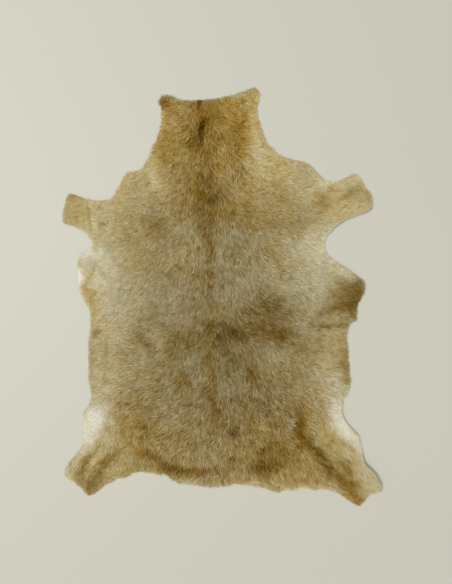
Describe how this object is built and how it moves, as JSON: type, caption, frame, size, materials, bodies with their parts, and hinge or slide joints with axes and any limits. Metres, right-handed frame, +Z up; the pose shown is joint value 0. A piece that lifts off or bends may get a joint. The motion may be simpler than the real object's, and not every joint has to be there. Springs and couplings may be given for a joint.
{
  "type": "goatskin",
  "caption": "Whole goatskin with the hair on, lying flat hair side up: squared neck, forelegs, hind legs, a fringe of hair locks at the rim and one curled hind corner.",
  "frame": {"origin": "on the floor under the middle of the hide's length and of its width", "axes": "+Z up from the flesh side to the hair side, +Y towards the neck, +X towards the animal's right side"},
  "size_m": [0.9819, 1.2404, 0.0184],
  "materials": {
    "goat_hair": "hair-on tanned skin, golden brown coat of fine lying hair, matt with a soft sheen"
  },
  "bodies": {
    "root": {"goatskin": "goat_hair"}
  },
  "joints": []
}
